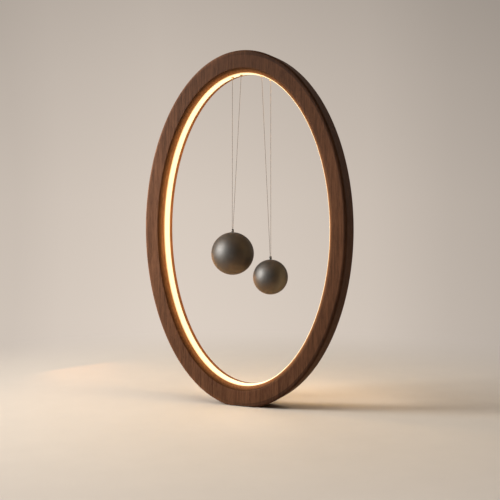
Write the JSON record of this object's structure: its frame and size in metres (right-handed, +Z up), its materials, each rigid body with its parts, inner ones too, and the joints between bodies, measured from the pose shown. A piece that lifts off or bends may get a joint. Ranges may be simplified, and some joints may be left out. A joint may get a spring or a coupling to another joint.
{
  "type": "magnetic balance lamp",
  "caption": "Table lamp: an upright oval wooden ring lit along its inside, with two magnetic balls hung on thread pairs that work a sprung pull switch in the ring's crown.",
  "frame": {"origin": "on the table, under the middle of the foot", "axes": "+Z up, -Y towards the viewer in front, +X to the viewer's right"},
  "size_m": [0.245, 0.0488, 0.4],
  "materials": {
    "walnut": "oiled, fine straight vertical grain",
    "opal_silicone": "opal, lit from behind",
    "tape": "white tape with chips",
    "bronzed_aluminium": "satin dark bronze",
    "thread": "fine twisted thread",
    "opal_nylon": "moulded, matt",
    "steel": "plain",
    "magnet": "nickel plated",
    "black_plastic": "moulded, matt",
    "red_plastic": "moulded, matt",
    "insulated_wire": "smooth insulation",
    "board_green": "lacquered board",
    "cell_wrap": "shrink wrapped",
    "rubber": "matt",
    "beech": "plain"
  },
  "bodies": {
    "ring": {"front_ring": "walnut", "rear_ring": "walnut", "diffuser": "opal_silicone", "led_tape": "tape", "ring_screw_1": "steel", "ring_screw_2": "steel", "ring_screw_3": "steel", "ring_screw_4": "steel", "ring_screw_5": "steel", "ring_screw_6": "steel", "ring_dowel_1": "beech", "ring_dowel_2": "beech", "ring_dowel_3": "beech", "ring_dowel_4": "beech", "fixed_hanger_bar": "opal_nylon", "large_outer_ferrule": "opal_nylon", "large_inner_ferrule": "opal_nylon", "yoke_guide_pin": "steel", "yoke_spring": "steel", "switch_body": "black_plastic", "switch_lead": "insulated_wire", "battery_lead_left": "insulated_wire", "battery_lead_right": "insulated_wire", "tape_lead": "insulated_wire", "battery_cell_left": "cell_wrap", "battery_cell_right": "cell_wrap", "base_weight_left": "steel", "base_weight_right": "steel", "driver_board": "board_green", "driver_chip": "black_plastic", "driver_inductor": "black_plastic", "charging_port": "steel", "foot_pad": "rubber"},
    "yoke": {"pull_yoke": "opal_nylon", "small_outer_ferrule": "opal_nylon", "small_inner_ferrule": "opal_nylon"},
    "plunger": {"switch_plunger": "red_plastic"},
    "large_beads": {"large_outer_bead": "bronzed_aluminium", "large_inner_bead": "bronzed_aluminium"},
    "large_line": {"large_outer_thread": "thread", "large_nipple": "bronzed_aluminium", "large_swivel_pin": "steel"},
    "large_second_line": {"large_inner_thread": "thread"},
    "large_weight": {"large_ball": "bronzed_aluminium", "large_magnet": "magnet", "large_plug": "bronzed_aluminium"},
    "small_beads": {"small_outer_bead": "bronzed_aluminium", "small_inner_bead": "bronzed_aluminium"},
    "small_line": {"small_outer_thread": "thread", "small_nipple": "bronzed_aluminium", "small_swivel_pin": "steel"},
    "small_second_line": {"small_inner_thread": "thread"},
    "small_weight": {"small_ball": "bronzed_aluminium", "small_magnet": "magnet", "small_plug": "bronzed_aluminium"}
  },
  "joints": [
    {"name": "yoke_lift", "type": "slide", "parent": "ring", "child": "yoke", "axis": [0, 0, 1], "range_m": [0, 0.0015], "stiffness_N_per_m": 100, "springref_m": 0.0055, "deforming": ["yoke_spring"]},
    {"name": "plunger_travel", "type": "slide", "parent": "ring", "child": "plunger", "axis": [0, 0, 1], "range_m": [0, 0.0015]},
    {"name": "large_swing_front_back", "type": "hinge", "parent": "ring", "child": "large_beads", "pos_m": [-0.017, 0, 0.37314], "axis": [0.9797, 0, 0.2004], "range_deg": [-20, 20]},
    {"name": "large_swing_side", "type": "hinge", "parent": "large_beads", "child": "large_line", "pos_m": [-0.017, 0, 0.37314], "axis": [0, -1, 0], "range_deg": [-4, 1.4]},
    {"name": "large_second_line_swing", "type": "hinge", "parent": "large_beads", "child": "large_second_line", "pos_m": [-0.0062, 0, 0.37535], "axis": [0, -1, 0], "range_deg": [-4, 1.4]},
    {"name": "large_spin", "type": "hinge", "parent": "large_line", "child": "large_weight", "pos_m": [-0.017, 0, 0.1723], "axis": [0, 0, 1], "continuous": true},
    {"name": "small_swing_front_back", "type": "hinge", "parent": "yoke", "child": "small_beads", "pos_m": [0.0295, 0, 0.36791], "axis": [-0.9172, 0, 0.3983], "range_deg": [-20, 20]},
    {"name": "small_swing_side", "type": "hinge", "parent": "small_beads", "child": "small_line", "pos_m": [0.0295, 0, 0.36791], "axis": [0, 1, 0], "range_deg": [-4, 1.3]},
    {"name": "small_second_line_swing", "type": "hinge", "parent": "small_beads", "child": "small_second_line", "pos_m": [0.0187, 0, 0.3726], "axis": [0, 1, 0], "range_deg": [-4, 1.3]},
    {"name": "small_spin", "type": "hinge", "parent": "small_line", "child": "small_weight", "pos_m": [0.0295, 0, 0.1467], "axis": [0, 0, 1], "continuous": true}
  ],
  "couplings": [
    {"joint": "plunger_travel", "follows": "yoke_lift", "ratio": 1},
    {"joint": "large_second_line_swing", "follows": "large_swing_side", "ratio": 0.986},
    {"joint": "small_second_line_swing", "follows": "small_swing_side", "ratio": 0.976}
  ]
}
